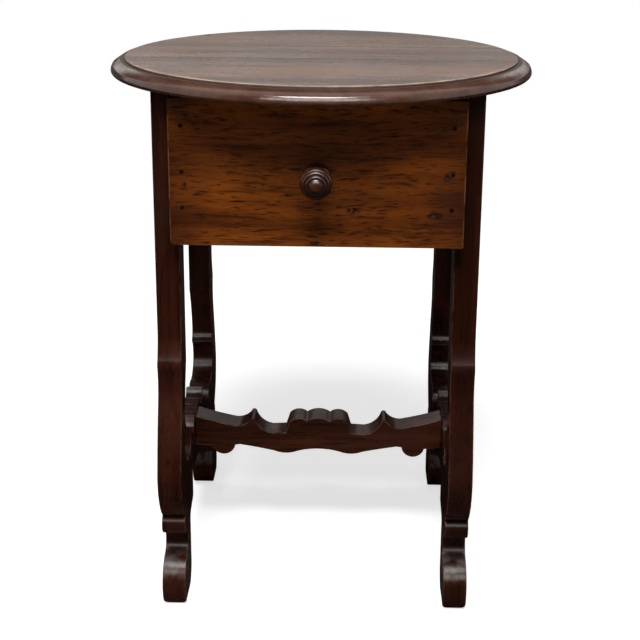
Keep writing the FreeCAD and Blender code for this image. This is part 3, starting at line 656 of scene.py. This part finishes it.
# Pegs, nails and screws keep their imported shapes
agedIron = {
    "colour": (0.003, 0.0017, 0.0011),
    "rust": (0.009, 0.0032, 0.0014),
    "rustScale": 350,
    "roughness": (0.6, 0.9),
    "glossScale": 800,
    "dentScale": 900,
    "dentDepth": 0.0002,
    "bump": 0.4,
    "specular": 0.03,
}
pegWood = dict(legWood, light=(0.06, 0.024, 0.012))
ironNodes = ("top_screws", "runner_nails", "drawer_front_nails", "drawer_back_nails", "drawer_bottom_nails")
pegNodes = ("apron_pegs", "stretcher_pegs")


def ironFinish(iron):
    material, tree, output = newMaterial("aged_iron")
    place = addNode(tree, "ShaderNodeTexCoord").outputs["Object"]
    blotches = remap(tree, noise(tree, place, iron["rustScale"], 4), 0.45, 0.65)
    colour = mixColour(tree, blotches, iron["colour"], iron["rust"])
    gloss = remap(tree, noise(tree, place, iron["glossScale"], 3), 0.3, 0.7, *iron["roughness"])
    dents = noise(tree, place, iron["dentScale"], 3)
    bump = addNode(tree, "ShaderNodeBump", Strength=iron["bump"], Distance=iron["dentDepth"], Height=dents)
    shader = addNode(tree, "ShaderNodeBsdfPrincipled", Roughness=gloss, Normal=bump.outputs["Normal"])
    tree.links.new(colour, shader.inputs["Base Color"])
    shader.inputs["Specular IOR Level"].default_value = iron["specular"]
    tree.links.new(shader.outputs[0], output.inputs[0])
    return material


def dress(nodeName, material):
    mesh = cadNodes[nodeName].data
    mesh.materials.clear()
    mesh.materials.append(material)


ironCoat = ironFinish(agedIron)
for nodeName in ironNodes:
    dress(nodeName, ironCoat)
pegFinish = waxedWood("peg_wax", pegWood, "X")
for nodeName in pegNodes:
    dress(nodeName, pegFinish)
print("fasteners dressed:", len(ironNodes) + len(pegNodes))


# Stage: a white floor that fades into a white room, one tall softbox in front
stageLook = {
    "floorSize": 30,
    "floorLevel": -0.0003,
    "floorColour": (0.62, 0.62, 0.62),
    "floorLift": 0.66,  # extra white where the camera looks
    "fadeFrom": 0.7,
    "fadeTo": 2.4,
    "roomLight": 0.2,
    "cardLevel": -0.0002,
    "cardColour": (0.03, 0.026, 0.023, 1),
}
walls = {  # dim walls with one bright band: foot, middle and head, fading between the sides
    "backWall": {
        "place": 2.6,
        "size": 7,
        "dim": 0.1,
        "bright": 1.4,
        "band": (1.0, 1.32, 1.8),
        "sides": (2.4, 3.4),
        "colour": (1, 0.97, 0.94, 1),
    },
    "frontWall": {
        "place": -2.6,
        "size": 7,
        "dim": 0.1,
        "bright": 11.5,
        "band": (1.0, 2.2, 3.4),
        "sides": (0.9, 2.0),
        "colour": (1, 0.95, 0.9, 1),
    },
}
wallBars = {"scale": (1.8, 0, 0), "edges": (0.35, 0.65), "strengths": (0.75, 1.2)}
lamps = {
    "tallSoftbox": {
        "place": (-0.06, -1.05, 2.43),
        "size": (1.0, 1.1),
        "watts": 112,
        "aim": (0, 0, 0.65),
    },
}


def backgroundRays(tree):
    path = addNode(tree, "ShaderNodeLightPath").outputs
    seen = maths(tree, "MAXIMUM", path["Is Camera Ray"], path["Is Glossy Ray"])
    return maths(tree, "MAXIMUM", seen, path["Is Transmission Ray"])


def stagePlane(name, width, height, material):
    made = bmesh.new()
    bmesh.ops.create_grid(made, x_segments=1, y_segments=1, size=width / 2)
    mesh = bpy.data.meshes.new(name)
    made.to_mesh(mesh)
    made.free()
    mesh.materials.append(material)
    plane = bpy.data.objects.new(name, mesh)
    plane.location.z = height
    scene.collection.objects.link(plane)
    return plane


def addFloor(look):
    material, tree, output = newMaterial("white_floor")
    place = addNode(tree, "ShaderNodeTexCoord").outputs["Object"]
    fade = remap(tree, vectorMaths(tree, "LENGTH", place), look["fadeFrom"], look["fadeTo"])
    colour = mixColour(tree, fade, look["floorColour"], (0, 0, 0))
    diffuse = addNode(tree, "ShaderNodeBsdfDiffuse", Color=colour)
    lift = maths(tree, "MULTIPLY", backgroundRays(tree), remap(tree, fade, 0, 1, look["floorLift"], 1))
    glow = addNode(tree, "ShaderNodeEmission", Strength=lift)
    both = addNode(tree, "ShaderNodeAddShader", i0=diffuse.outputs[0], i1=glow.outputs[0])
    tree.links.new(both.outputs[0], output.inputs[0])
    stagePlane("floor", look["floorSize"], look["floorLevel"], material)


# Cards seen only in reflections, so that the wax mirrors a dim room with one bright band
def onlyInReflections(card):
    card.visible_camera = False
    card.visible_diffuse = False
    card.visible_shadow = False
    card.visible_transmission = False


def addDarkFloor(look):
    material, tree, output = newMaterial("dark_card")
    diffuse = addNode(tree, "ShaderNodeBsdfDiffuse", Color=look["cardColour"])
    tree.links.new(diffuse.outputs[0], output.inputs[0])
    onlyInReflections(stagePlane("darkCard", look["floorSize"], look["cardLevel"], material))


def addWall(name, wall):
    material, tree, output = newMaterial(name + "_card")
    place = addNode(tree, "ShaderNodeTexCoord").outputs["Object"]
    along, level = addNode(tree, "ShaderNodeSeparateXYZ", Vector=place).outputs[:2]
    foot, middle, head = wall["band"]
    band = maths(tree, "MULTIPLY", remap(tree, level, foot, middle), remap(tree, level, middle, head, 1, 0))
    band = maths(tree, "MULTIPLY", band, remap(tree, maths(tree, "ABSOLUTE", along), *wall["sides"], 1, 0))
    streaky = noise(tree, stretch(tree, place, wallBars["scale"]), 1, 2)
    bars = remap(tree, streaky, *wallBars["edges"], *wallBars["strengths"])
    strength = maths(tree, "MULTIPLY", remap(tree, band, 0, 1, wall["dim"], wall["bright"]), bars)
    glow = addNode(tree, "ShaderNodeEmission", Color=wall["colour"], Strength=strength)
    tree.links.new(glow.outputs[0], output.inputs[0])
    card = stagePlane(name, wall["size"], 0, material)
    card.rotation_euler.x = math.radians(90)
    card.location.y = wall["place"]
    onlyInReflections(card)


def addRoom(look):
    world = bpy.data.worlds.new("whiteRoom")
    scene.world = world
    world.use_nodes = True
    tree = world.node_tree
    tree.nodes.clear()
    background = addNode(tree, "ShaderNodeBackground", Color=(1, 1, 1, 1))
    strength = remap(tree, backgroundRays(tree), 0, 1, look["roomLight"], 1.0)
    tree.links.new(strength, background.inputs["Strength"])
    output = addNode(tree, "ShaderNodeOutputWorld")
    tree.links.new(background.outputs[0], output.inputs[0])


def addLamp(name, lamp):
    data = bpy.data.lights.new(name, "AREA")
    data.shape = "RECTANGLE"
    data.size, data.size_y = lamp["size"]
    data.energy = lamp["watts"]
    light = bpy.data.objects.new(name, data)
    light.location = lamp["place"]
    light.rotation_euler = (Vector(lamp["aim"]) - light.location).to_track_quat("-Z", "Y").to_euler()
    scene.collection.objects.link(light)


addFloor(stageLook)
addDarkFloor(stageLook)
for wallName, wall in walls.items():
    addWall(wallName, wall)
addRoom(stageLook)
for lampName, lamp in lamps.items():
    addLamp(lampName, lamp)
print("stage lit:", len(lamps), "lamp,", len(walls), "walls")
